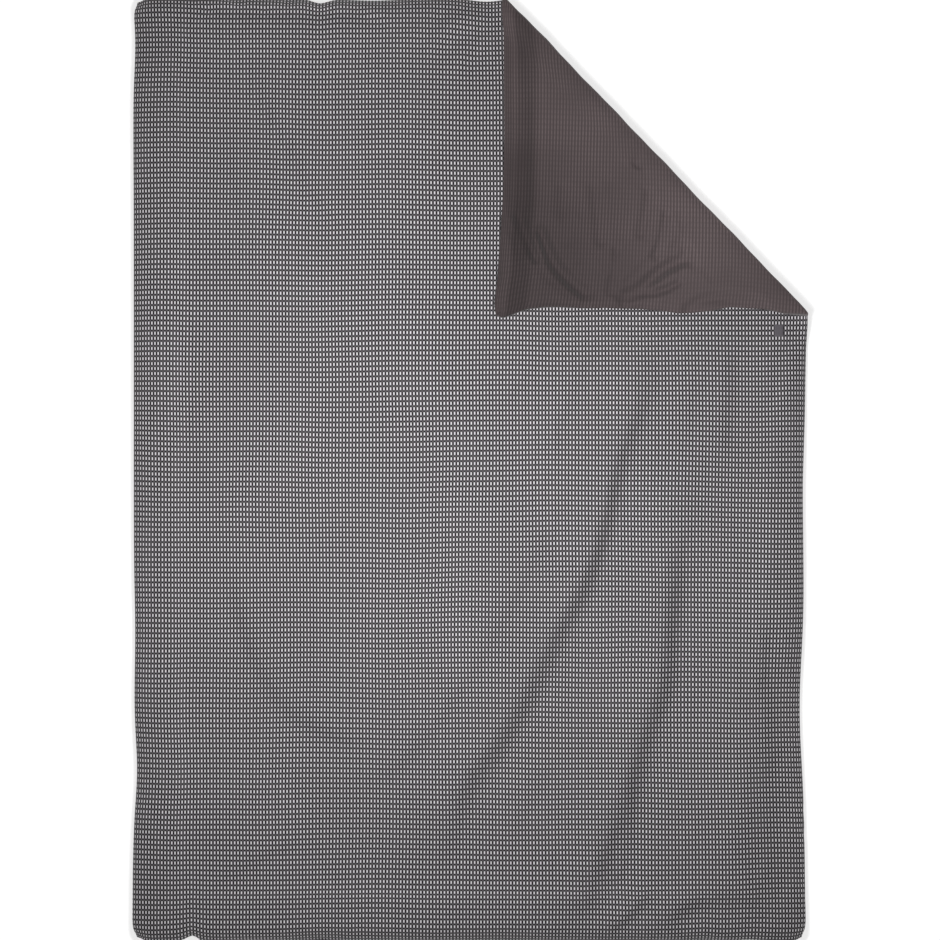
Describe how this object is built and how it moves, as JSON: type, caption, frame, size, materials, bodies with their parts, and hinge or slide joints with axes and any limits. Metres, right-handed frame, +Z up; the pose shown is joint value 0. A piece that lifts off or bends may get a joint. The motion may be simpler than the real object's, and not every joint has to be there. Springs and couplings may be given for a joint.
{
  "type": "duvet",
  "caption": "Filled duvet in a zipped two-tone cover, lying flat with one head corner folded back diagonally over itself.",
  "frame": {"origin": "centre of the cover's outline, on the surface that the duvet lies on", "axes": "+Y along the length, towards the head end; +X across the width; +Z up, out of the patterned face"},
  "size_m": [1.36, 1.9, 0.077],
  "materials": {
    "face_cloth": "two-tone dobby-woven cotton, small light bars on dark grey, matte",
    "reverse_cloth": "aubergine-grey cotton with a faint tone-on-tone version of the face's weave, matte",
    "ticking": "close-woven off-white cotton cambric, box-stitched",
    "fill_fibre": "white hollow-fibre wadding",
    "zip_tape": "dark grey woven tape",
    "zip_coil": "dark moulded nylon coil",
    "zip_metal": "small stamped steel parts, satin",
    "label_satin": "blank white woven satin",
    "face_tab": "plain satin-stitched grey patch with no mark on it"
  },
  "bodies": {
    "main": {"care_label": "label_satin", "cover_face_main": "face_cloth", "cover_reverse_main": "reverse_cloth", "cover_tie_foot_left": "zip_tape", "cover_tie_foot_right": "zip_tape", "cover_tie_head_left": "zip_tape", "face_tab": "face_tab", "fill_pad_r1_c1": "fill_fibre", "fill_pad_r1_c2": "fill_fibre", "fill_pad_r1_c3": "fill_fibre", "fill_pad_r1_c4": "fill_fibre", "fill_pad_r2_c1": "fill_fibre", "fill_pad_r2_c2": "fill_fibre", "fill_pad_r2_c3": "fill_fibre", "fill_pad_r2_c4": "fill_fibre", "fill_pad_r3_c1": "fill_fibre", "fill_pad_r3_c2": "fill_fibre", "fill_pad_r3_c3": "fill_fibre", "fill_pad_r3_c4": "fill_fibre", "fill_pad_r4_c1": "fill_fibre", "fill_pad_r4_c2": "fill_fibre", "fill_pad_r4_c3": "fill_fibre", "fill_pad_r4_c4": "fill_fibre", "fill_pad_r5_c1": "fill_fibre", "fill_pad_r5_c2": "fill_fibre", "fill_pad_r5_c3": "fill_fibre", "fill_pad_r5_c4": "fill_fibre", "fill_pad_r6_c1": "fill_fibre", "fill_pad_r6_c2": "fill_fibre", "fill_pad_r6_c3": "fill_fibre", "hem_lower": "reverse_cloth", "hem_upper": "face_cloth", "insert_loop_foot_left": "ticking", "insert_loop_foot_right": "ticking", "insert_loop_head_left": "ticking", "insert_piping_main": "ticking", "ticking_base_main": "ticking", "ticking_top_main": "ticking", "zip_coil_lower": "zip_coil", "zip_coil_upper": "zip_coil", "zip_stop_left": "zip_metal", "zip_stop_right": "zip_metal", "zip_tape_lower": "zip_tape", "zip_tape_upper": "zip_tape"},
    "corner": {"cover_face_corner": "face_cloth", "cover_reverse_corner": "reverse_cloth", "cover_tie_head_right": "zip_tape", "fill_pad_r5_c4_corner": "fill_fibre", "fill_pad_r6_c3_corner": "fill_fibre", "fill_pad_r6_c4": "fill_fibre", "insert_loop_head_right": "ticking", "insert_piping_corner": "ticking", "ticking_base_corner": "ticking", "ticking_top_corner": "ticking"},
    "slider": {"zip_slider": "zip_metal"},
    "pull": {"zip_pull": "zip_metal"}
  },
  "joints": [
    {"name": "corner_fold", "type": "hinge", "parent": "main", "child": "corner", "pos_m": [0.369, 0.6285, 0.0385], "axis": [-0.6953, 0.7187, 0], "range_deg": [0, 180]},
    {"name": "zip_slide", "type": "slide", "parent": "main", "child": "slider", "axis": [-1, 0, 0], "range_m": [0, 1.03]},
    {"name": "pull_swing", "type": "hinge", "parent": "slider", "child": "pull", "pos_m": [0.52, -0.9485, 0.0152], "axis": [0, 0, 1], "range_deg": [0, 170]}
  ]
}
